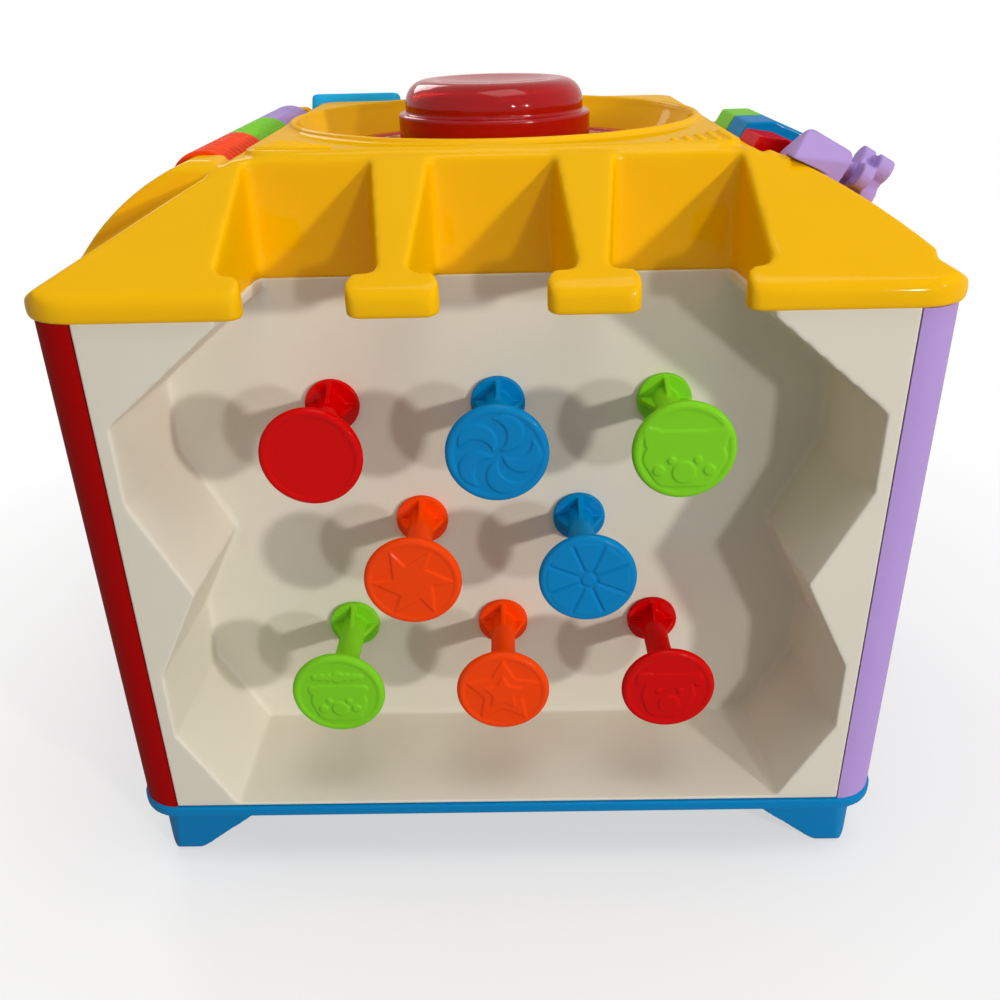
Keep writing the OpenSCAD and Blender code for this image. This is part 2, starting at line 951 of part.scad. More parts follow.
module roof_hollow() {
    side_z = inner_slope(hollow_x, deck_w / 2, side_angle);
    side_x = inner_reach(ceil_z, deck_w / 2, side_angle);
    rear_z = inner_slope(hollow_y, deck_d / 2, end_angle);
    rear_y = inner_reach(ceil_z, deck_d / 2, end_angle);
    intersection() {
        along_y(-body_d, body_d)
            polygon([
                [-hollow_x, roof_z - over], [hollow_x, roof_z - over], [hollow_x, side_z],
                [side_x, ceil_z], [-side_x, ceil_z], [-hollow_x, side_z]]);
        along_x(-body_w, body_w)
            polygon([
                [lane_y + roof_wall, roof_z - over], [hollow_y, roof_z - over], [hollow_y, rear_z],
                [rear_y, ceil_z], [lane_y + roof_wall, ceil_z]]);
    }
}

// Plan of one rib with its foot and blends
module rib_plan() {
    rim_y = -rim_d / 2;
    blend_y = rim_y + rib_foot_d;
    polygon([
        [-rib_front_w / 2, rim_y], [rib_front_w / 2, rim_y],
        [rib_back_w / 2, lane_y + eps], [-rib_back_w / 2, lane_y + eps]]);
    translate([0, rim_y + rib_foot_d / 2])
        round_rect(rib_foot_w, rib_foot_d, foot_end_r);
    for (side = [-1, 1])
        translate([side * rib_front_w / 2, blend_y])
            difference() {
                translate([side * rib_blend_r / 2, rib_blend_r / 2 - eps])
                    square([rib_blend_r + 2 * eps, rib_blend_r + eps], center = true);
                translate([side * (rib_blend_r + eps), rib_blend_r])
                    circle(r = rib_blend_r);
            }
}

// Plan of the foot at the inner end of an end arm
module end_foot_plan() {
    rim_y = -rim_d / 2;
    foot_reach = lane_front_x + over - end_foot_x;
    translate([end_foot_x + foot_reach / 2, rim_y + rib_foot_d / 2])
        round_rect(foot_reach, rib_foot_d, foot_end_r);
    translate([lane_front_x, rim_y + rib_foot_d])
        difference() {
            translate([-rib_blend_r / 2, rib_blend_r / 2 - eps])
                square([rib_blend_r + 2 * eps, rib_blend_r + eps], center = true);
            translate([-rib_blend_r - eps, rib_blend_r])
                circle(r = rib_blend_r);
        }
}

// The three ball lanes, cut right through the front slope
module lane_cut() {
    translate([0, 0, roof_z - over])
        linear_extrude(height = rim_h + slope_h + 2 * over)
            difference() {
                polygon([
                    [-lane_front_x, -rim_d / 2 - over], [lane_front_x, -rim_d / 2 - over],
                    [lane_front_x, -rim_d / 2], [lane_back_x, lane_y],
                    [-lane_back_x, lane_y], [-lane_front_x, -rim_d / 2]]);
                for (side = [-1, 1])
                    translate([side * rib_pitch / 2, 0])
                        rib_plan();
                end_foot_plan();
                mirror([1, 0])
                    end_foot_plan();
            }
}

// Deck with its lip and corner textures

ridge_n = 6;
ridge_pitch = 2.6;
ridge_w = 1.3;
ridge_l = 26;
ridge_cut = 4;
ridge_lean = 0.6;
texture_h = 0.7;
dot_n = 5;
dot_pitch = 5;
dot_r = 1.2;
texture_inset = 7;

module deck() {
    translate([0, 0, slope_top_z - over])
        linear_extrude(height = deck_step + over)
            round_rect(deck_w - 2 * deck_edge_r, deck_d - 2 * deck_edge_r, deck_r);
    translate([0, 0, deck_z - eps])
        cylinder(d = well_d + 2 * lip_w, h = lip_rise + eps, $fn = 128);
    corner_ridges();
    corner_dots();
}

// Parallel ridges in the left front corner, cut back to the lip of the well
module corner_ridges() {
    x0 = -deck_w / 2 + texture_inset;
    y0 = -deck_d / 2 + texture_inset;
    for (i = [0 : ridge_n - 1])
        translate([x0 + i * ridge_lean, y0 + i * ridge_pitch, deck_z - eps])
            cube([ridge_l - i * ridge_cut, ridge_w, texture_h + eps]);
}

// Raised dots in the right front corner
module corner_dots() {
    x0 = deck_w / 2 - texture_inset;
    y0 = -deck_d / 2 + texture_inset;
    for (row = [0 : dot_n - 1])
        for (i = [0 : dot_n - 1 - row])
            translate([x0 - i * dot_pitch, y0 + row * dot_pitch, deck_z - eps])
                cylinder(r = dot_r, h = texture_h + eps, $fn = 24);
}

dome_hole_r = dome_d / 2 + press_gap;

module well_cut() {
    translate([0, 0, well_z])
        cylinder(d1 = well_floor_d, d2 = well_d, h = well_depth + eps, $fn = 128);
    translate([0, 0, deck_z])
        cylinder(d = well_d, h = lip_rise + over, $fn = 128);
    translate([0, 0, ceil_z - over])
        cylinder(r = dome_hole_r, h = well_depth + over, $fn = 128);
}

// Roller bay on the left slope

bay_l = 3 * roller_l + 4 * roller_gap;
bay_y = -79;
bay_r = roller_r + roller_gap;
bay_end = 6;
lug_r = 8;

module at_roller_axis() {
    on_left_slope(roller_s, bay_y)
        translate([0, 0, -roller_sink])
            children();
}

module roller_bay_shell() {
    at_roller_axis() {
        y_rod(bay_r + roof_wall, -bay_end, bay_l + bay_end);
    }
}

module roller_bay_cut() {
    at_roller_axis() {
        y_rod(bay_r, 0, bay_l);
        y_rod(axle_r + pin_gap, roof_wall - bay_end, bay_l + bay_end - roof_wall);
    }
}

module roller_lugs() {
    at_roller_axis() {
        y_rod(lug_r, -bay_end, eps);
        y_rod(lug_r, bay_l - eps, bay_l + bay_end);
    }
}

// Convex cheek that swells out of the left slope
cheek_s = 27;
cheek_end_y = 97;

module cheek() {
    intersection() {
        on_left_slope(cheek_s, 0)
            translate([0, 0, cheek_rise - cheek_r])
                y_rod(cheek_r, -cheek_end_y, cheek_end_y, $fn = 200);
        on_left_slope(over, 0)
            translate([0, -body_d / 2, -roof_wall])
                cube([side_run / cos(side_angle) - over, body_d, cheek_rise + 2 * roof_wall]);
        along_x(-rim_w, 0)
            end_profile();
    }
}

// Key bay on the right slope

key_n = 3;
key_w = key_pitch - key_gap;
key_front_y = keys_end_y - key_n * key_pitch;
key_s = 2;
key_pin_s = 8;
key_pin_z = -2.4;
key_skirt = 5;
bay_depth = 10.5;
key_lug_r = 5.6;
key_lug_w = 6;
key_end_gap = 1;
key_row_l = key_n * key_pitch + key_gap;

module key_bay_box(grow, depth) {
    on_right_slope(key_s - key_end_gap - grow, key_front_y - key_gap / 2 - grow)
        translate([0, 0, -depth])
            cube([key_l + 2 * key_end_gap + 2 * grow, key_row_l + 2 * grow, depth + over]);
}

// Half-round lug behind the keys that holds the rear end of their pin
module key_lug() {
    on_right_slope(key_pin_s, keys_end_y + key_gap / 2)
        translate([0, 0, key_pin_z])
            y_rod(key_lug_r, -eps, key_lug_w);
}

module key_pin_hole() {
    on_right_slope(key_pin_s, key_front_y - key_gap / 2)
        translate([0, 0, key_pin_z])
            y_rod(key_pin_r + pin_gap, roof_wall - key_lug_w, key_row_l + key_lug_w - roof_wall);
}

// Knob seat and the arched sill along the front edge of the right slope
knob_gap = 4.5;
block_s = 10;
block_end_s = block_s + block_l;
knob_s0 = block_end_s + knob_gap;
knob_s1 = knob_s0 + inner_lobes_t + outer_lobes_t;
knob_axis_z = 9.6;
sill_t = 2.5;
sill_rise = 4.3;
sill_arch_r = 160;
sill_s = [4, 57];

// Space under the arch of the sill, open to the front
module sill_arch(grow, thickness) {
    difference() {
        intersection() {
            on_right_slope((sill_s[0] + sill_s[1]) / 2, 0)
                translate([0, 0, sill_rise + grow - sill_arch_r])
                    y_rod(sill_arch_r, -body_d, 0, $fn = 200);
            on_right_slope(sill_s[0] - grow, -body_d)
                translate([0, 0, -roof_wall])
                    cube([sill_s[1] - sill_s[0] + 2 * grow, body_d, 2 * roof_wall + sill_rise]);
        }
        translate([0, thickness / sin(end_angle), 0])
            along_x(-over, rim_w)
                end_profile();
    }
}

module slope_sill() {
    intersection() {
        sill_arch(0, sill_t);
        along_x(0, rim_w)
            end_profile();
    }
}

// Shallow scoop that gives the lobes room to turn
module knob_scoop() {
    on_right_slope(0, knob_mid_y)
        translate([0, 0, knob_axis_z])
            x_rod(lobe_pitch_r + lobe_r + press_gap, knob_s0 - press_gap, knob_s1 + press_gap);
}

// Rear key bay
bar_bay_depth = 7;
bar_corner_r = 3;

module bar_bay_box(grow, depth) {
    on_rear_slope(bar_x, bar_s)
        translate([0, 0, -depth])
            linear_extrude(height = depth + bar_h)
                round_rect(bar_l + 2 * grow, bar_w + 2 * grow, bar_corner_r + grow);
}

module top_housing() {
    color(yellow)
        difference() {
            union() {
                difference() {
                    roof_block();
                    lane_cut();
                    difference() {
                        roof_hollow();
                        roller_bay_shell();
                        key_bay_box(key_lug_w, bay_depth + roof_wall);
                        bar_bay_box(roof_wall, bar_bay_depth + roof_wall);
                        board_posts();
                    }
                }
                deck();
                cheek();
                roller_lugs();
                key_lug();
                slope_sill();
            }
            well_cut();
            roller_bay_cut();
            key_bay_box(0, bay_depth);
            key_pin_hole();
            bar_bay_box(press_gap, bar_bay_depth);
            board_post_holes();
            block_peg_hole();
            knob_scoop();
        }
}

// Well floor

well_disc_t = 1.6;
well_disc_rim = 5;
well_disc_rim_h = 1.4;
well_disc_gap = 0.6;

module well_disc() {
    disc_r = well_floor_d / 2 - well_disc_gap;
    hole_r = dome_hole_r + press_gap;
    color(red)
        translate([0, 0, well_z])
            rotate_extrude($fn = 128) {
                translate([hole_r, 0])
                    square([disc_r - hole_r, well_disc_t]);
                translate([disc_r - well_disc_rim, 0])
                    square([well_disc_rim, well_disc_t + well_disc_rim_h]);
            }
}

// Circuit board under the dome

dome_flange_w = 3.5;
dome_flange_t = 2;
board_drop = 17;
board_z = ceil_z - board_drop;
board_t = 1.6;
board_post_r = 4;
board_post_pitch = sqrt(2) * (dome_d / 2 + dome_flange_w + board_post_r + 2 * press_gap);
board_screw_r = 1.2;
board_screw_l = 8;
board_screw_head_r = 2.5;
board_screw_head_h = 1.6;
board_w = board_post_pitch + 2 * board_margin;
switch_w = 12;
switch_h = 4.3;
plunger_r = 3.4;
plunger_h = 1.5;
plunger_top_z = board_z + board_t + switch_h + plunger_h;
lamp_r = 2.5;
lamp_h = 6;
lamp_ring_r = 24;
lamp_n = 6;

// Dome

dome_top_z = deck_z + dome_rise;
dome_bottom_z = ceil_z - dome_flange_t - press_gap;
dome_shoulder_r = 9;
dome_step_r = 1;
plunger_stem_r = 4;
spring_seat_r = 13;
spring_seat_t = 2;
spring_wire_r = 0.7;
spring_r = 11;
spring_turns = 4;
spring_rings = 10;
spring_sides = 6;

// Outer half section of the dome
module dome_section(shrink) {
    upper_r = dome_top_d / 2 - shrink;
    lower_r = dome_d / 2 - shrink;
    top_z = dome_top_z - shrink;
    step_z = deck_z + dome_step_z - shrink;
    shoulder = dome_shoulder_r - shrink;
    translate([0, dome_bottom_z])
        square([lower_r, step_z - dome_bottom_z - dome_step_r]);
    translate([0, dome_bottom_z])
        square([lower_r - dome_step_r, step_z - dome_bottom_z]);
    translate([lower_r - dome_step_r, step_z - dome_step_r])
        circle(r = dome_step_r, $fn = 32);
    translate([0, step_z - eps])
        square([upper_r, top_z - shoulder - step_z + eps]);
    translate([0, step_z])
        square([upper_r - shoulder, top_z - step_z]);
    translate([upper_r - shoulder, top_z - shoulder])
        circle(r = shoulder, $fn = 64);
}

module dome_button() {
    dish_r = (pow(dish_d / 2, 2) + pow(dish_depth, 2)) / (2 * dish_depth);
    stem_z = plunger_top_z + dome_travel + fit_gap;
    color(red)
        difference() {
            union() {
                rotate_extrude($fn = 128)
                    dome_shell();
                translate([0, 0, stem_z])
                    cylinder(r = plunger_stem_r, h = dome_top_z - dish_depth - dome_wall / 2 - stem_z);
                translate([0, 0, dome_bottom_z])
                    cylinder(r = spring_seat_r, h = spring_seat_t);
            }
            translate([0, 0, dome_top_z - dish_depth + dish_r])
                sphere(r = dish_r, $fn = 128);
        }
}

// Half section of the hollow dome with its retaining flange
module dome_shell() {
    difference() {
        intersection() {
            union() {
                dome_section(0);
                translate([0, dome_bottom_z])
                    square([dome_d / 2 + dome_flange_w, dome_flange_t]);
            }
            square([dome_d, dome_top_z + over]);
        }
        intersection() {
            translate([0, -dish_depth])
                dome_section(dome_wall);
            square([dome_d, dome_top_z + over]);
        }
        square([dome_d / 2 - dome_wall, dome_bottom_z + over]);
    }
}

// Coil spring between the board and the seat on the dome
spring_z0 = board_z + board_t + spring_wire_r + fit_gap;
spring_z1 = dome_bottom_z - spring_wire_r - fit_gap;
spring_pitch = (spring_z1 - spring_z0) / spring_turns;

function coil_point(t) = [spring_r * cos(360 * t), spring_r * sin(360 * t), spring_z0 + spring_pitch * t];
function coil_ring(t) = [
    for (k = [0 : spring_sides - 1])
        let (a = 360 * k / spring_sides, r = spring_r + spring_wire_r * cos(a))
        [r * cos(360 * t), r * sin(360 * t), spring_z0 + spring_pitch * t + spring_wire_r * sin(a)]
];
coil_steps = spring_turns * spring_rings;
coil_gap = min([
    for (i = [0 : coil_steps - spring_rings])
        norm(coil_point((i + spring_rings) / spring_rings) - coil_point(i / spring_rings))
]) - 2 * spring_wire_r;
echo(least_spring_gap = coil_gap);

module dome_spring() {
    points = [for (i = [0 : coil_steps]) each coil_ring(i / spring_rings)];
    sides = [
        for (i = [0 : coil_steps - 1], k = [0 : spring_sides - 1])
            let (a = i * spring_sides + k, b = i * spring_sides + (k + 1) % spring_sides)
            each [[a, a + spring_sides, b + spring_sides], [a, b + spring_sides, b]]
    ];
    start = [for (k = [1 : spring_sides - 2]) [0, k, k + 1]];
    last = coil_steps * spring_sides;
    end = [for (k = [1 : spring_sides - 2]) [last, last + k + 1, last + k]];
    color(steel)
        polyhedron(points, concat(sides, start, end));
}

// Boards and switch

module board_posts() {
    for (x = [-1, 1], y = [-1, 1])
        translate([x * board_post_pitch / 2, y * board_post_pitch / 2, board_z + board_t])
            cylinder(r = board_post_r, h = ceil_z - board_z);
}

module board_post_holes() {
    for (x = [-1, 1], y = [-1, 1])
        translate([x * board_post_pitch / 2, y * board_post_pitch / 2, board_z])
            cylinder(r = board_screw_r + pin_gap, h = board_screw_l + 1, $fn = 32);
}

module light_board() {
    color(board_green)
        difference() {
            translate([-board_w / 2, -board_w / 2, board_z])
                cube([board_w, board_w, board_t]);
            for (x = [-1, 1], y = [-1, 1])
                translate([x * board_post_pitch / 2, y * board_post_pitch / 2, board_z - over])
                    cylinder(r = board_screw_r + fit_gap, h = 2 * over, $fn = 32);
        }
}

module board_screws() {
    color(steel)
        for (x = [-1, 1], y = [-1, 1])
            translate([x * board_post_pitch / 2, y * board_post_pitch / 2, board_z])
                screw(board_screw_r, board_screw_l, board_screw_head_r, board_screw_head_h);
}

module push_switch() {
    color(dark) {
        translate([-switch_w / 2, -switch_w / 2, board_z + board_t])
            cube([switch_w, switch_w, switch_h]);
        translate([0, 0, board_z + board_t + switch_h - eps])
            cylinder(r = plunger_r, h = plunger_h + eps);
    }
}

module lamps() {
    color(lamp_white)
        for (i = [0 : lamp_n - 1])
            rotate(i * 360 / lamp_n)
                translate([lamp_ring_r, 0, board_z + board_t]) {
                    cylinder(r = lamp_r, h = lamp_h - lamp_r);
                    translate([0, 0, lamp_h - lamp_r])
                        sphere(r = lamp_r, $fn = 32);
                }
}

// Rollers

module roller(i) {
    y0 = roller_gap + i * (roller_l + roller_gap);
    at_roller_axis()
        translate([0, y0, 0])
            rotate([-90, 0, 0])
                rotate_extrude($fn = 96)
                    difference() {
                        translate([axle_r + pin_gap, 0])
                            square([roller_r - axle_r - pin_gap, roller_l]);
                        for (g = [1 : groove_n])
                            translate([roller_r, g * roller_l / (groove_n + 1)])
                                circle(r = groove_depth, $fn = 24);
                    }
}

module roller_axle() {
    color(steel)
        at_roller_axis()
            y_rod(axle_r, roof_wall - bay_end + fit_gap, bay_l + bay_end - roof_wall - fit_gap);
}

module roller_orange() {
    color(orange)
        roller(0);
}

module roller_green() {
    color(green)
        roller(1);
}

module roller_lilac() {
    color(lilac)
        roller(2);
}

// Keys

key_crest_s = 9;
key_top_r = 1.2;
key_back_share = 0.55;

module key(i, height) {
    y0 = key_front_y + key_gap / 2 + i * key_pitch;
    on_right_slope(0, 0)
        difference() {
            along_y(y0, y0 + key_w)
                soft_polygon(
                    [[key_s, -key_skirt], [key_s + key_l, -key_skirt], [key_s + key_l, height + key_rise],
                     [key_s + key_crest_s, height], [key_s, height * key_back_share]],
                    [0, 0, key_top_r, key_top_r, key_top_r]);
            translate([key_pin_s, 0, key_pin_z])
                y_rod(key_pin_r + pin_gap, y0 - over, y0 + key_w + over);
        }
}

module key_red() {
    color(red)
        key(0, low_key_h);
}

module key_blue() {
    color(blue)
        key(1, key_h);
}

module key_green() {
    color(green)
        key(2, key_h);
}

module key_pin() {
    color(steel)
        on_right_slope(key_pin_s, key_front_y - key_gap / 2)
            translate([0, 0, key_pin_z])
                y_rod(key_pin_r, roof_wall - key_lug_w + fit_gap,
                      key_row_l + key_lug_w - roof_wall - fit_gap);
}

pad_r = 4;
pad_from_end = 8;
pad_drop = key_skirt + (key_l - key_pin_s) * sin(key_angle) + 2 * fit_gap;

module key_pads() {
    color(dark)
        on_right_slope(key_s + key_l - pad_from_end, key_front_y)
            for (i = [0 : key_n - 1])
                translate([0, (i + 0.5) * key_pitch, -bay_depth])
                    cylinder(r = pad_r, h = bay_depth - pad_drop, $fn = 32);
}

// Knob

block_peg_r = 3;
block_peg_l = 2.4;
block_nose_l = 2;
block_radii = [0, 0, 2, 3];
facet_s = 12;
facet_z = 4.5;
facet_rise = 0.4;
facet_lean = 1.22;
facet_reach = 4 * block_l;
shaft_depth = 12;

module block_peg_hole() {
    on_right_slope(block_s + block_l / 2, knob_mid_y)
        translate([0, 0, -block_peg_l - fit_gap])
            cylinder(r = block_peg_r + fit_gap, h = block_peg_l + over, $fn = 32);
}

// Slanting facet on the upper edge of the block, higher towards the knob
module block_facet() {
    lean = atan(norm([facet_rise, facet_lean]));
    turn = atan2(-facet_lean, -facet_rise);
    translate([facet_s, -block_w / 2, facet_z])
        rotate([0, lean, turn])
            translate([-facet_reach / 2, -facet_reach / 2, 0])
                cube([facet_reach, facet_reach, block_h]);
}

module knob_block() {
    color(lilac)
        difference() {
            on_right_slope(0, knob_mid_y)
                difference() {
                    along_y(-block_w / 2, block_w / 2)
                        soft_polygon(
                            [[block_s, 0], [block_end_s, 0], [block_end_s, block_h],
                             [block_s + block_nose_l, block_h]],
                            block_radii);
                    block_facet();
                    mirror([0, 1, 0])
                        block_facet();
                    translate([0, 0, knob_axis_z])
                        x_rod(shaft_r + pin_gap, block_end_s - shaft_depth, block_end_s + over, $fn = 48);
                }
            sill_arch(fit_gap, sill_t + fit_gap);
        }
    color(lilac)
        on_right_slope(block_s + block_l / 2, knob_mid_y)
            translate([0, 0, -block_peg_l])
                cylinder(r = block_peg_r, h = block_peg_l + eps, $fn = 32);
}

lobe_n = 3;
lobe_turn = 60;
knob_hub_r = 5;

module lobed_disc(turn, thickness) {
    linear_extrude(height = thickness) {
        circle(r = knob_hub_r, $fn = 48);
        for (i = [0 : lobe_n - 1])
            rotate(i * 360 / lobe_n + turn)
                translate([lobe_pitch_r, 0])
                    circle(r = lobe_r, $fn = 48);
    }
}

module turning_knob() {
    color(lilac)
        on_right_slope(0, 0)
            translate([0, knob_mid_y, knob_axis_z]) {
                x_rod(shaft_r, block_end_s - shaft_depth + fit_gap, knob_s0 + eps, $fn = 48);
                rotate([90, 0, 90]) {
                    translate([0, 0, knob_s0])
                        lobed_disc(lobe_turn, inner_lobes_t + eps);
                    translate([0, 0, knob_s0 + inner_lobes_t])
                        lobed_disc(2 * lobe_turn, outer_lobes_t);
                }
            }
}

// Rear key

bar_skirt = 3;
bar_pad_gap = 0.6;
bar_pad_inset = 6;

module rear_key() {
    color(blue)
        on_rear_slope(bar_x, bar_s)
            translate([0, 0, -bar_skirt])
                linear_extrude(height = bar_h + bar_skirt)
                    round_rect(bar_l, bar_w, bar_corner_r);
}

module rear_key_pad() {
    color(dark)
        on_rear_slope(bar_x, bar_s)
            translate([0, 0, -bar_bay_depth])
                linear_extrude(height = bar_bay_depth - bar_skirt - bar_travel - bar_pad_gap)
                    round_rect(bar_l - 2 * bar_pad_inset, bar_w - bar_pad_inset, bar_corner_r - 1);
}

// Battery box

module battery_box() {
    color(dark)
        difference() {
            translate([-box_w / 2, box_y - box_d / 2, panel_z])
                cube([box_w, box_d, box_h]);
            translate([-box_in_w / 2, box_y - box_in_d / 2, panel_z - over])
                cube([box_in_w, box_in_d, box_h - box_wall + over]);
        }
}

function cell_y(i) = box_y + (i - (cell_n - 1) / 2) * cell_pitch;
cell_z = panel_z + box_h - box_wall - cell_d / 2 - fit_gap;
cell_nub_r = 2.7;
cell_nub_l = 1.5;
contact_nub_r = 3;
contact_t = 0.8;
contact_h = 10;

module battery_cells() {
    color(cell_grey)
        for (i = [0 : cell_n - 1])
            translate([0, cell_y(i), cell_z])
                mirror([i % 2, 0, 0]) {
                    x_rod(cell_d / 2, -cell_l / 2, cell_l / 2 - cell_nub_l, $fn = 48);
                    x_rod(cell_nub_r, cell_l / 2 - cell_nub_l - eps, cell_l / 2, $fn = 32);
                }
}

module battery_contacts() {
    color(steel)
        for (i = [0 : cell_n - 1], side = [-1, 1])
            translate([side * (box_in_w - contact_t) / 2, cell_y(i), cell_z]) {
                cube([contact_t, contact_h, contact_h], center = true);
                mirror([side > 0 ? 1 : 0, 0, 0])
                    x_rod(contact_nub_r, contact_t / 2 - eps,
                          contact_room - contact_t / 2 - fit_gap, $fn = 32);
            }
}

module battery_door() {
    color(blue)
        difference() {
            translate([0, 0, base_z])
                linear_extrude(height = door_t)
                    door_outline(0);
            translate([0, door_screw_y, base_z - over])
                cylinder(r = door_screw_r + fit_gap, h = 2 * over, $fn = 32);
            translate([0, door_screw_y, base_z - over])
                cylinder(r = door_head_r + fit_gap, h = over + door_head_h, $fn = 32);
        }
}

module door_screw() {
    color(steel)
        translate([0, door_screw_y, base_z + door_head_h])
            screw(door_screw_r, door_boss_h, door_head_r, door_head_h - fit_gap);
}

// Speaker

speaker_h = 18;
speaker_rim_t = 3;
speaker_cone_z = 11;
speaker_cone_r = 12;
magnet_r = 11;
clamp_w = 6;
clamp_l = 4;

module speaker() {
    color(dark)
        translate([0, speaker_y, panel_z])
            rotate_extrude()
                union() {
                    square([speaker_d / 2, speaker_rim_t]);
                    polygon([
                        [0, speaker_rim_t - eps], [speaker_d / 2 - speaker_rim_t, speaker_rim_t - eps],
                        [speaker_cone_r, speaker_cone_z], [0, speaker_cone_z]]);
                    square([magnet_r, speaker_h]);
                }
}

module speaker_clamps() {
    color(steel)
        for (turn = [45 : 90 : 315])
            translate([0, speaker_y, panel_z])
                rotate(turn)
                    translate([speaker_d / 2 + fit_gap, -clamp_w / 2, 0])
                        cube([clamp_l, clamp_w, speaker_rim_t]);
}

base_tray();
corner_feet();
base_screws();
front_panel();
left_panel();
right_panel();
rear_panel();
top_housing();
peg_red_top();
peg_blue_top();
peg_green_top();
peg_orange_mid();
peg_blue_mid();
peg_green_low();
peg_orange_low();
peg_red_low();
peg_screws();
well_disc();
dome_button();
dome_spring();
light_board();
board_screws();
push_switch();
lamps();
roller_axle();
roller_orange();
roller_green();
roller_lilac();
key_pin();
key_red();
key_blue();
key_green();
key_pads();
knob_block();
turning_knob();
rear_key();
rear_key_pad();
battery_box();
battery_cells();
battery_contacts();
battery_door();
door_screw();
speaker();
speaker_clamps();
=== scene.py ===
import json
from math import cos, pi, radians, sin

import bmesh
import bpy
import numpy as np
from mathutils import Euler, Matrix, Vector


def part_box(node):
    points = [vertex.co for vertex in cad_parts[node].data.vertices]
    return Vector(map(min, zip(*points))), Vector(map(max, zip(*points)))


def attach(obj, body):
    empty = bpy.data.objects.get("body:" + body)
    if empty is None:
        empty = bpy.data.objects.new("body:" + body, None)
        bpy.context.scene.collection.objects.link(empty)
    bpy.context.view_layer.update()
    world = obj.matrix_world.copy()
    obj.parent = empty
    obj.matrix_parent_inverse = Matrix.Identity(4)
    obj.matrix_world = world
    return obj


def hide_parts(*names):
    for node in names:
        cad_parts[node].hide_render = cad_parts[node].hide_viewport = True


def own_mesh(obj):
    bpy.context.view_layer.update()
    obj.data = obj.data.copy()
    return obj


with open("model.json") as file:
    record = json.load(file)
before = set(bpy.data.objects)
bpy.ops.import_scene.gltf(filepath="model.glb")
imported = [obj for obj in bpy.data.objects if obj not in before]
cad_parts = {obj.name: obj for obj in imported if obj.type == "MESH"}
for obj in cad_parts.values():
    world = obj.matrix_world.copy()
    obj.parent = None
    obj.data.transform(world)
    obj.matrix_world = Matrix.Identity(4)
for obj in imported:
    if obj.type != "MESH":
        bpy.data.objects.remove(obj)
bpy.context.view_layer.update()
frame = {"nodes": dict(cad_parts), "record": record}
cadNodes = frame["nodes"]
bodyOf = {n: b for b, names in frame["record"]["behaviour"]["bodies"].items() for n in names}
slotOf = {s["node"]: s["material_slot"] for s in frame["record"]["subparts"]}


# materials

# a noise keeps near its middle, so this part of it is spread over the whole range
noiseLook = {
    "colorDetail": 3.0, "colorFrom": 0.3, "colorTo": 0.7,
    "wearDetail": 4.0, "wearFrom": 0.35, "wearTo": 0.65,
    "grainDetail": 2.0,
}


def startMaterial(name):
    mat = bpy.data.materials.new(name)
    mat.use_nodes = True
    tree = mat.node_tree
    return mat, tree, tree.nodes["Principled BSDF"]


def addNode(tree, kind, **values):
    made = tree.nodes.new(kind)
    for key, value in values.items():
        if key in made.inputs:
            made.inputs[key].default_value = value
        else:
            setattr(made, key, value)
    return made


def addNoise(tree, scale, detail, stretch=(1, 1, 1)):
    place = addNode(tree, "ShaderNodeTexCoord")
    turn = addNode(tree, "ShaderNodeMapping", Scale=stretch)
    noise = addNode(tree, "ShaderNodeTexNoise", Scale=scale, Detail=detail)
    tree.links.new(place.outputs["Object"], turn.inputs["Vector"])
    tree.links.new(turn.outputs["Vector"], noise.inputs["Vector"])
    return noise.outputs["Fac"]


def shade(color, amount=1.0):
    return tuple(min(1.0, c * amount) for c in color) + (1.0,)


# paler and deeper clouds of one colour
def mottle(tree, shader, look):
    ramp = addNode(tree, "ShaderNodeValToRGB")
    deep, pale = ramp.color_ramp.elements
    deep.position = noiseLook["colorFrom"]
    deep.color = shade(look["color"], 1 - look["mottle"])
    pale.position = noiseLook["colorTo"]
    pale.color = shade(look["color"], 1 + look["mottle"])
    tree.links.new(addNoise(tree, look["mottleScale"], noiseLook["colorDetail"]), ramp.inputs["Fac"])
    tree.links.new(ramp.outputs["Color"], shader.inputs["Base Color"])


# smoother and rougher patches
def wear(tree, shader, look):
    spread = addNode(tree, "ShaderNodeMapRange")
    spread.inputs["From Min"].default_value = noiseLook["wearFrom"]
    spread.inputs["From Max"].default_value = noiseLook["wearTo"]
    spread.inputs["To Min"].default_value = look["rough"][0]
    spread.inputs["To Max"].default_value = look["rough"][1]
    patches = addNoise(tree, look["wearScale"], noiseLook["wearDetail"], look.get("wearStretch", (1, 1, 1)))
    tree.links.new(patches, spread.inputs["Value"])
    tree.links.new(spread.outputs["Result"], shader.inputs["Roughness"])


# fine relief of the surface
def grain(tree, shader, look):
    bump = addNode(tree, "ShaderNodeBump", Strength=look["grain"], Distance=look["grainDepth"])
    tree.links.new(addNoise(tree, look["grainScale"], noiseLook["grainDetail"]), bump.inputs["Height"])
    tree.links.new(bump.outputs["Normal"], shader.inputs["Normal"])


# smooth toy plastic: faint flow marks, fine handling scratches and a trace of orange peel
plasticBase = {
    "mottle": 0.025, "mottleScale": 14, "wearScale": 45, "wearStretch": (1, 1, 0.4),
    "grain": 0.015, "grainScale": 160, "grainDepth": 0.0005, "gloss": 0.0, "coat": 0.15, "coatRough": 0.05,
}


def mouldedPlastic(name, look):
    look = {**plasticBase, **look}
    mat, tree, shader = startMaterial(name)
    mottle(tree, shader, look)
    wear(tree, shader, look)
    grain(tree, shader, look)
    shader.inputs["Specular IOR Level"].default_value = look["gloss"]
    shader.inputs["Coat Weight"].default_value = look["coat"]
    shader.inputs["Coat Roughness"].default_value = look["coatRough"]
    mat.diffuse_color = shade(look["color"])
    return mat


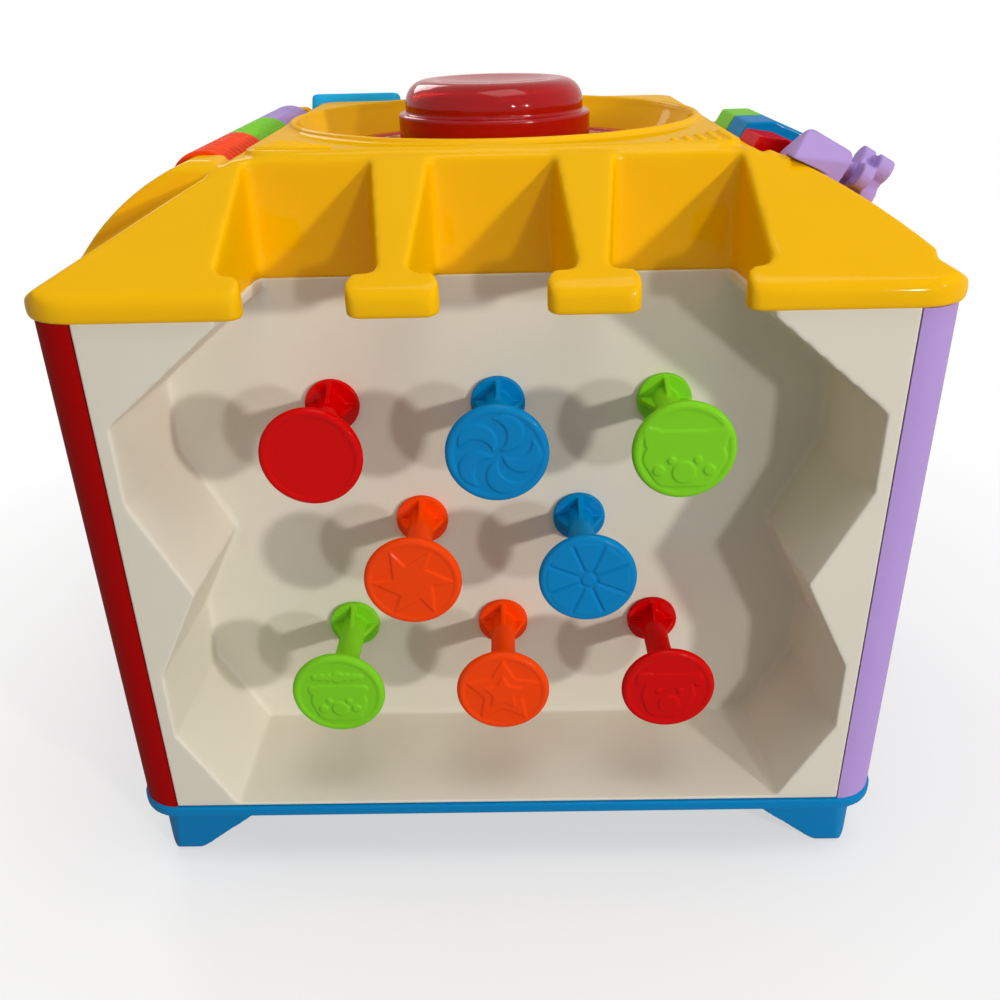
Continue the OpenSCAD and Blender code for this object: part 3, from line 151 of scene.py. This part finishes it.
plasticLooks = {
    "yellow_plastic": {"color": (0.96, 0.51, 0.0), "rough": (0.2, 0.3), "coat": 0.16},
    "cream_plastic": {"color": (0.77, 0.73, 0.62), "rough": (0.3, 0.4), "mottle": 0.02, "coat": 0.07},
    "red_plastic": {"color": (0.66, 0.0, 0.0), "rough": (0.2, 0.3)},
    "blue_plastic": {"color": (0.0, 0.225, 0.55), "rough": (0.2, 0.3)},
    "green_plastic": {"color": (0.21, 0.64, 0.016), "rough": (0.2, 0.3)},
    "orange_plastic": {"color": (0.95, 0.06, 0.0), "rough": (0.2, 0.3)},
    "lilac_plastic": {"color": (0.47, 0.32, 0.7), "rough": (0.25, 0.35)},
    "dark_plastic": {"color": (0.02, 0.02, 0.022), "rough": (0.5, 0.65), "grain": 0.12},
    "lamp_plastic": {"color": (0.8, 0.8, 0.82), "rough": (0.12, 0.2), "mottle": 0.02},
}
finishes = {slot: mouldedPlastic(slot.replace("_", " "), look) for slot, look in plasticLooks.items()}

# tinted see-through plastic of the push dome
domeTint = {
    "color": (0.58, 0.004, 0.004), "mottle": 0.05, "mottleScale": 20, "rough": (0.05, 0.1), "wearScale": 60,
    "wearStretch": (1, 1, 0.4), "clear": 0.5, "bend": 1.25, "gloss": 0.0, "coat": 0.25, "coatRough": 0.025,
}


def tintedPlastic(name, look):
    mat, tree, shader = startMaterial(name)
    mottle(tree, shader, look)
    wear(tree, shader, look)
    shader.inputs["Transmission Weight"].default_value = look["clear"]
    shader.inputs["IOR"].default_value = look["bend"]
    shader.inputs["Specular IOR Level"].default_value = look["gloss"]
    shader.inputs["Coat Weight"].default_value = look["coat"]
    shader.inputs["Coat Roughness"].default_value = look["coatRough"]
    mat.diffuse_color = shade(look["color"])
    return mat


finishes["clear_red_plastic"] = tintedPlastic("tinted dome plastic", domeTint)

# printed floor of the well: gold and pink flakes inside a plain red rim
wellLook = {
    "rim": (0.6, 0.012, 0.012), "rimFrom": 0.93, "flakeScale": 420, "rough": (0.12, 0.22), "wearScale": 90,
    "flakes": [
        (0.0, (0.30, 0.09, 0.03)),
        (0.35, (0.62, 0.25, 0.08)),
        (0.6, (0.85, 0.5, 0.2)),
        (0.85, (0.8, 0.3, 0.24)),
    ],
}


def speckledFloor(name, look, reach):
    mat, tree, shader = startMaterial(name)
    place = addNode(tree, "ShaderNodeTexCoord")
    flakes = addNode(tree, "ShaderNodeTexVoronoi", Scale=look["flakeScale"])
    ramp = addNode(tree, "ShaderNodeValToRGB")
    ramp.color_ramp.interpolation = "CONSTANT"
    while len(ramp.color_ramp.elements) < len(look["flakes"]):
        ramp.color_ramp.elements.new(0.5)
    for stop, (at, color) in zip(ramp.color_ramp.elements, look["flakes"]):
        stop.position = at
        stop.color = shade(color)
    split = addNode(tree, "ShaderNodeSeparateColor")
    flat = addNode(tree, "ShaderNodeVectorMath", operation="MULTIPLY")
    flat.inputs[1].default_value = (1, 1, 0)
    out = addNode(tree, "ShaderNodeVectorMath", operation="LENGTH")
    edge = addNode(tree, "ShaderNodeMath", operation="GREATER_THAN")
    edge.inputs[1].default_value = reach * look["rimFrom"]
    mix = addNode(tree, "ShaderNodeMix", data_type="RGBA")
    mix.inputs["B"].default_value = shade(look["rim"])
    tree.links.new(place.outputs["Object"], flakes.inputs["Vector"])
    tree.links.new(flakes.outputs["Color"], split.inputs["Color"])
    tree.links.new(split.outputs["Red"], ramp.inputs["Fac"])
    tree.links.new(place.outputs["Object"], flat.inputs[0])
    tree.links.new(flat.outputs["Vector"], out.inputs[0])
    tree.links.new(out.outputs["Value"], edge.inputs[0])
    tree.links.new(edge.outputs["Value"], mix.inputs["Factor"])
    tree.links.new(ramp.outputs["Color"], mix.inputs["A"])
    tree.links.new(mix.outputs["Result"], shader.inputs["Base Color"])
    wear(tree, shader, look)
    return mat


# plated steel of pins, screws, spring and contacts
steelLook = {
    "color": (0.62, 0.62, 0.63), "mottle": 0.06, "mottleScale": 60,
    "rough": (0.22, 0.4), "wearScale": 300, "wearStretch": (1, 0.1, 1),
}
cellLook = {**steelLook, "color": (0.5, 0.5, 0.52), "rough": (0.3, 0.45)}


def platedSteel(name, look):
    mat, tree, shader = startMaterial(name)
    mottle(tree, shader, look)
    wear(tree, shader, look)
    shader.inputs["Metallic"].default_value = 1.0
    mat.diffuse_color = shade(look["color"])
    return mat


finishes["steel"] = platedSteel("plated steel", steelLook)
finishes["cell_metal"] = platedSteel("cell jacket", cellLook)

# soft return pads
padLook = {
    "color": (0.03, 0.03, 0.032), "mottle": 0.15, "mottleScale": 90, "rough": (0.7, 0.85), "wearScale": 200,
    "grain": 0.25, "grainScale": 700, "grainDepth": 0.0004,
}


def softRubber(name, look):
    mat, tree, shader = startMaterial(name)
    mottle(tree, shader, look)
    wear(tree, shader, look)
    grain(tree, shader, look)
    return mat


finishes["soft_rubber"] = softRubber("return pad rubber", padLook)

# lacquered board with copper tracks showing through
boardLook = {
    "lacquer": (0.01, 0.11, 0.03), "patch": 1.15, "track": (0.03, 0.2, 0.05), "trackScale": 260,
    "rough": (0.3, 0.45), "wearScale": 120,
}


def lacqueredBoard(name, look):
    mat, tree, shader = startMaterial(name)
    place = addNode(tree, "ShaderNodeTexCoord")
    bricks = addNode(tree, "ShaderNodeTexBrick", Scale=look["trackScale"])
    bricks.inputs["Color1"].default_value = shade(look["lacquer"])
    bricks.inputs["Color2"].default_value = shade(look["lacquer"], look["patch"])
    bricks.inputs["Mortar"].default_value = shade(look["track"])
    tree.links.new(place.outputs["Object"], bricks.inputs["Vector"])
    tree.links.new(bricks.outputs["Color"], shader.inputs["Base Color"])
    wear(tree, shader, look)
    return mat


finishes["board_plastic"] = lacqueredBoard("lacquered board", boardLook)
print("finishes:", len(finishes))


# pieces


def paint(obj, finish):
    obj.data.materials.clear()
    obj.data.materials.append(finish)


def addPiece(name, mesh, finish, node):
    mesh.name = name
    mesh.shade_smooth()
    piece = bpy.data.objects.new(name, mesh)
    bpy.context.scene.collection.objects.link(piece)
    paint(piece, finish)
    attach(piece, bodyOf[node])
    return piece


def finalMesh(obj):
    return bpy.data.meshes.new_from_object(obj.evaluated_get(bpy.context.evaluated_depsgraph_get()))


def takeMesh(bm, name):
    mesh = bpy.data.meshes.new(name)
    bm.to_mesh(mesh)
    bm.free()
    return mesh


# weight of the easing at each point: full where the look's test says so, and a share elsewhere
def easeWeights(obj, look):
    points = np.empty(len(obj.data.vertices) * 3, np.float32)
    obj.data.vertices.foreach_get("co", points)
    points = points.reshape(-1, 3)
    full = look["easeWhere"](points[:, 0], points[:, 1], points[:, 2])
    group = obj.vertex_groups.new(name="ease")
    group.add(np.flatnonzero(full).tolist(), 1.0, "REPLACE")
    group.add(np.flatnonzero(~full).tolist(), look["easeElsewhere"], "REPLACE")
    return group.name


# copy of a CAD solid with soft moulded edges: a fine skin, eased, then thinned out
softBase = {"pull": 0.5, "keep": 0.35}


def softPiece(name, look):
    look = {**softBase, **look}
    node = look["node"]
    rough = bpy.data.objects.new("rough", cadNodes[node].data.copy())
    bpy.context.scene.collection.objects.link(rough)
    skin = rough.modifiers.new("skin", "REMESH")
    skin.mode = "VOXEL"
    skin.voxel_size = look["voxel"]
    rough.data = finalMesh(rough)
    rough.modifiers.clear()
    ease = rough.modifiers.new("ease", "SMOOTH")
    ease.factor = look["pull"]
    ease.iterations = look["passes"]
    if "easeWhere" in look:
        ease.vertex_group = easeWeights(rough, look)
    thin = rough.modifiers.new("thin", "DECIMATE")
    thin.ratio = look["keep"]
    mesh = finalMesh(rough)
    bpy.data.objects.remove(rough)
    if "topLift" in look:
        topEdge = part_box(node)[1].z - look["topBand"]
        for v in mesh.vertices:
            v.co.z += look["topLift"] if v.co.z > topEdge else 0
    piece = addPiece(name, mesh, look.get("finish", finishes[slotOf[node]]), node)
    piece.vertex_groups.clear()
    piece.modifiers.new("keep flats flat", "WEIGHTED_NORMAL")
    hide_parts(node)
    return piece


# the ribs, feet and rim have the widest rounds
roofLook = {
    "node": "top_housing", "voxel": 0.0009, "passes": 26, "keep": 0.25,
    "ribReach": 0.1, "ribBack": -0.088, "rimTop": 0.2475, "easeElsewhere": 0.15,
    "seamFront": -0.122, "seamTop": 0.2392,
}


# all but the seam where the lanes meet the peg wall
def wideRounds(x, y, z):
    ribs = (abs(x) < roofLook["ribReach"]) & (y < roofLook["ribBack"])
    seam = ribs & (y > roofLook["seamFront"]) & (z < roofLook["seamTop"])
    return (ribs | (z < roofLook["rimTop"])) & ~seam


roofLook["easeWhere"] = wideRounds
softPiece("roof", roofLook)

# height of the deck's flat above the floor
deckLevel = 0.281

# raised lip of the well
lipLook = {"wellRadius": 0.083, "width": 0.0034, "rise": 0.0019, "steps": 192, "arcSteps": 8}


def wellLip(look):
    bm = bmesh.new()
    half = look["width"] / 2
    middle = look["wellRadius"] + half
    arc = [pi * i / look["arcSteps"] for i in range(look["arcSteps"] + 1)]
    outline = [(middle + cos(a) * half, deckLevel + sin(a) * look["rise"]) for a in arc]
    rings = []
    for step in range(look["steps"]):
        turn = 2 * pi * step / look["steps"]
        rings.append([bm.verts.new((r * cos(turn), r * sin(turn), z)) for r, z in outline])
    for here, there in zip(rings, rings[1:] + rings[:1]):
        for a, b, c, d in zip(here, there, there[1:] + there[:1], here[1:] + here[:1]):
            bm.faces.new((a, b, c, d))
    bmesh.ops.recalc_face_normals(bm, faces=bm.faces)
    addPiece("wellLip", takeMesh(bm, "wellLip"), finishes["yellow_plastic"], "top_housing")


wellLip(lipLook)


# points of a round bead of radius 1, which its caller draws out to shape
def addBead(bm, look):
    made = bmesh.ops.create_uvsphere(bm, u_segments=look["around"], v_segments=look["along"], radius=1.0)
    return made["verts"]


# ridges in the deck's left front corner, shorter towards the back
ridgeLook = {
    "corner": (-0.0835, -0.086), "rise": 0.0011, "count": 7, "step": 0.0026, "width": 0.0014,
    "length": 0.027, "cut": 0.0036, "lean": 0.0006, "around": 16, "along": 8,
}


def deckRidges(look):
    bm = bmesh.new()
    half = look["width"] / 2
    for i in range(look["count"]):
        length = look["length"] - i * look["cut"]
        reach = length / 2 - half
        middle = look["corner"][0] + i * look["lean"] + length / 2
        across = look["corner"][1] + i * look["step"]
        for v in addBead(bm, look):
            end = reach if v.co.x > 0 else -reach
            v.co.x = middle + end + v.co.x * half
            v.co.y = across + v.co.y * half
            v.co.z = deckLevel + v.co.z * look["rise"]
    addPiece("deckRidges", takeMesh(bm, "deckRidges"), finishes["yellow_plastic"], "top_housing")


deckRidges(ridgeLook)

# dots in the deck's right front corner
dotLook = {
    "corner": (0.0835, -0.086), "rise": 0.0011, "rows": 5, "step": 0.005, "radius": 0.0017,
    "around": 14, "along": 8,
}


def deckDots(look):
    bm = bmesh.new()
    for row in range(look["rows"]):
        for i in range(look["rows"] - row):
            x = look["corner"][0] - i * look["step"]
            y = look["corner"][1] + row * look["step"]
            for v in addBead(bm, look):
                v.co.x = x + v.co.x * look["radius"]
                v.co.y = y + v.co.y * look["radius"]
                v.co.z = deckLevel + v.co.z * look["rise"]
    addPiece("deckDots", takeMesh(bm, "deckDots"), finishes["yellow_plastic"], "top_housing")


deckDots(dotLook)

# the wall's eased top edge goes up into the roof, so the seam stays shut
pegWallLook = {
    "node": "front_panel", "voxel": 0.001, "passes": 3, "keep": 0.3, "topBand": 0.0016, "topLift": 0.0012,
}
softPiece("pegWall", pegWallLook)

baseLooks = {
    "baseTray": {"node": "base_tray", "voxel": 0.001, "passes": 3, "keep": 0.3},
    "cornerFeet": {"node": "corner_feet", "voxel": 0.0006, "passes": 6, "keep": 0.3},
}
for name, look in baseLooks.items():
    softPiece(name, look)
print("shell dressed")

# a peg's piece is named for its colour and row
pegEdge = {"voxel": 0.00035, "passes": 2, "keep": 0.4}
for node in sorted(n for n in cadNodes if n.startswith("peg_") and n != "peg_screws"):
    words = node.split("_")
    softPiece("peg" + words[1].title() + words[2].title(), {"node": node, **pegEdge})
print("pegs dressed")

# the rear key is moulded in a lighter blue than the base and the pegs, and its colour is raised further as
# painted light, so that its shaded front face looks as bright as a sky-lit one
rearKeyColorAndLight = {"color": (0.02, 0.5, 1.0), "rough": (0.2, 0.3), "coat": 0.12}
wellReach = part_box("well_disc")[1].x
playLooks = {
    "pushDome": {"node": "dome_button", "voxel": 0.0005, "passes": 3, "keep": 0.35},
    "wellDisc": {"node": "well_disc", "voxel": 0.0005, "passes": 2, "keep": 0.3,
                 "finish": speckledFloor("speckled well floor", wellLook, wellReach)},
    "rollerOrange": {"node": "roller_orange", "voxel": 0.0003, "passes": 3},
    "rollerGreen": {"node": "roller_green", "voxel": 0.0003, "passes": 3},
    "rollerLilac": {"node": "roller_lilac", "voxel": 0.0003, "passes": 3},
    "keyRed": {"node": "key_red", "voxel": 0.0004, "passes": 5},
    "keyBlue": {"node": "key_blue", "voxel": 0.0004, "passes": 5},
    "keyGreen": {"node": "key_green", "voxel": 0.0004, "passes": 5},
    "knobBlock": {"node": "knob_block", "voxel": 0.0004, "passes": 8},
    "turningKnob": {"node": "turning_knob", "voxel": 0.0004, "passes": 8},
    # the rear key's finish carries painted light: a brighter blue for a face that lies in shade
    "rearKey": {"node": "rear_key", "voxel": 0.0005, "passes": 30,
                "finish": mouldedPlastic("light blue plastic with painted light", rearKeyColorAndLight)},
}
for name, look in playLooks.items():
    softPiece(name, look)

# the coil under the dome gets a piece of its own, with its own copy of the mesh
springLook = {"node": "dome_spring", "joint": "dome_press", "travel": 0.004}


def returnSpring(look):
    mesh = cadNodes[look["node"]].data.copy()
    piece = addPiece("domeSpring", mesh, finishes[slotOf[look["node"]]], look["node"])
    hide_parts(look["node"])
    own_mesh(piece)


returnSpring(springLook)
print("play pieces dressed")

# the other solids stay and take a finish; the left panel gets a darker red than the pegs, which is painted
# shade for the shade it stands in away from the lamps
shadedSideLook = {"color": (0.42, 0.001, 0.001), "rough": (0.3, 0.4), "coat": 0.05}
keptFinishAndShade = {"left_panel": mouldedPlastic("red plastic darkened as painted shade", shadedSideLook)}
for node, obj in cadNodes.items():
    if not obj.hide_render:
        paint(obj, keptFinishAndShade.get(node, finishes[slotOf[node]]))
print("panels and inner pieces dressed")


# floor, light and camera


# 1 for what the camera, a shiny surface or a clear one sees, and 0 for bounced light
def seenDirectly(tree):
    rays = addNode(tree, "ShaderNodeLightPath")
    shiny = addNode(tree, "ShaderNodeMath", operation="MAXIMUM")
    seen = addNode(tree, "ShaderNodeMath", operation="MAXIMUM")
    tree.links.new(rays.outputs["Is Glossy Ray"], shiny.inputs[0])
    tree.links.new(rays.outputs["Is Transmission Ray"], shiny.inputs[1])
    tree.links.new(rays.outputs["Is Camera Ray"], seen.inputs[0])
    tree.links.new(shiny.outputs["Value"], seen.inputs[1])
    return seen.outputs["Value"]


# pale floor that keeps the shadow close to the object and fades to white
stageLook = {
    "reach": 6.0, "floor": (0.9, 0.9, 0.9), "bounce": (0.42, 0.41, 0.4), "rough": 0.9,
    "nearRadius": 0.17, "farRadius": 0.45, "nearWhite": 0.55,
}


def whiteFloor(look):
    reach = look["reach"]
    corners = [(-reach, -reach, 0), (reach, -reach, 0), (reach, reach, 0), (-reach, reach, 0)]
    mesh = bpy.data.meshes.new("floor")
    mesh.from_pydata(corners, [], [(0, 1, 2, 3)])
    floor = bpy.data.objects.new("floor", mesh)
    bpy.context.scene.collection.objects.link(floor)
    mat, tree, shader = startMaterial("pale floor")
    shader.inputs["Roughness"].default_value = look["rough"]
    shader.inputs["Specular IOR Level"].default_value = 0.0
    seen = seenDirectly(tree)
    tone = addNode(tree, "ShaderNodeMix", data_type="RGBA")
    tone.inputs["A"].default_value = shade(look["bounce"])
    tone.inputs["B"].default_value = shade(look["floor"])
    place = addNode(tree, "ShaderNodeTexCoord")
    far = addNode(tree, "ShaderNodeVectorMath", operation="LENGTH")
    spread = addNode(tree, "ShaderNodeMapRange")
    spread.inputs["From Min"].default_value = look["nearRadius"]
    spread.inputs["From Max"].default_value = look["farRadius"]
    spread.inputs["To Min"].default_value = look["nearWhite"]
    white = addNode(tree, "ShaderNodeMath", operation="MULTIPLY")
    glow = addNode(tree, "ShaderNodeEmission", Strength=1.0)
    fade = addNode(tree, "ShaderNodeMixShader")
    tree.links.new(seen, tone.inputs["Factor"])
    tree.links.new(tone.outputs["Result"], shader.inputs["Base Color"])
    tree.links.new(place.outputs["Object"], far.inputs[0])
    tree.links.new(far.outputs["Value"], spread.inputs["Value"])
    tree.links.new(seen, white.inputs[0])
    tree.links.new(spread.outputs["Result"], white.inputs[1])
    tree.links.new(white.outputs["Value"], fade.inputs["Fac"])
    tree.links.new(shader.outputs["BSDF"], fade.inputs[1])
    tree.links.new(glow.outputs["Emission"], fade.inputs[2])
    tree.links.new(fade.outputs["Shader"], tree.nodes["Material Output"].inputs["Surface"])
    floor.data.materials.append(mat)


whiteFloor(stageLook)

skyLook = {"color": (1.0, 0.99, 0.97), "ambient": 0.25}


def whiteSky(look):
    world = bpy.data.worlds.new("studio")
    bpy.context.scene.world = world
    world.use_nodes = True
    tree = world.node_tree
    dim = tree.nodes["Background"]
    dim.inputs["Color"].default_value = shade(look["color"])
    dim.inputs["Strength"].default_value = look["ambient"]
    clear = addNode(tree, "ShaderNodeBackground", Strength=1.0)
    clear.inputs["Color"].default_value = (1, 1, 1, 1)
    fade = addNode(tree, "ShaderNodeMixShader")
    tree.links.new(seenDirectly(tree), fade.inputs["Fac"])
    tree.links.new(dim.outputs["Background"], fade.inputs[1])
    tree.links.new(clear.outputs["Background"], fade.inputs[2])
    tree.links.new(fade.outputs["Shader"], tree.nodes["World Output"].inputs["Surface"])


whiteSky(skyLook)

lampLooks = {
    "windowRight": {"at": (1.5, -1.66, 0.6), "aim": (0, -0.1, 0.15), "size": 0.12, "power": 19,
                    "color": (1.0, 0.97, 0.93)},
    "windowFront": {"at": (0.95, -2.05, 0.58), "aim": (0, -0.1, 0.15), "size": 0.12, "power": 8.5,
                    "color": (0.97, 0.98, 1.0)},
    "ceiling": {"at": (0.25, -0.35, 1.9), "aim": (0, 0, 0.2), "size": 1.0, "power": 12,
                "color": (1.0, 0.99, 0.97)},
    "fillBehind": {"at": (-0.9, 1.6, 1.3), "aim": (0, 0, 0.2), "size": 0.8, "power": 13,
                   "color": (1.0, 0.99, 0.97)},
}
for name, look in lampLooks.items():
    light = bpy.data.lights.new(name, "AREA")
    light.size = look["size"]
    light.energy = look["power"]
    light.color = look["color"]
    lamp = bpy.data.objects.new(name, light)
    bpy.context.scene.collection.objects.link(lamp)
    lamp.location = look["at"]
    away = lamp.location - Vector(look["aim"])
    lamp.rotation_euler = away.to_track_quat("Z", "Y").to_euler()
print("floor, sky and", len(lampLooks), "lamps set")

cameraLook = {
    "at": (0.005171, -0.449934, 0.327313), "turn": (62.92254, 1.22876, 0.22296),
    "lens": 35.5131, "sensor": 36, "nearest": 0.01,
}
eye = bpy.data.cameras.new("photoEye")
eye.sensor_width = cameraLook["sensor"]
eye.lens = cameraLook["lens"]
eye.clip_start = cameraLook["nearest"]
camera = bpy.data.objects.new("photoEye", eye)
bpy.context.scene.collection.objects.link(camera)
camera.location = cameraLook["at"]
camera.rotation_euler = Euler([radians(a) for a in cameraLook["turn"]])
bpy.context.scene.camera = camera
bpy.context.scene.view_settings.view_transform = "Standard"
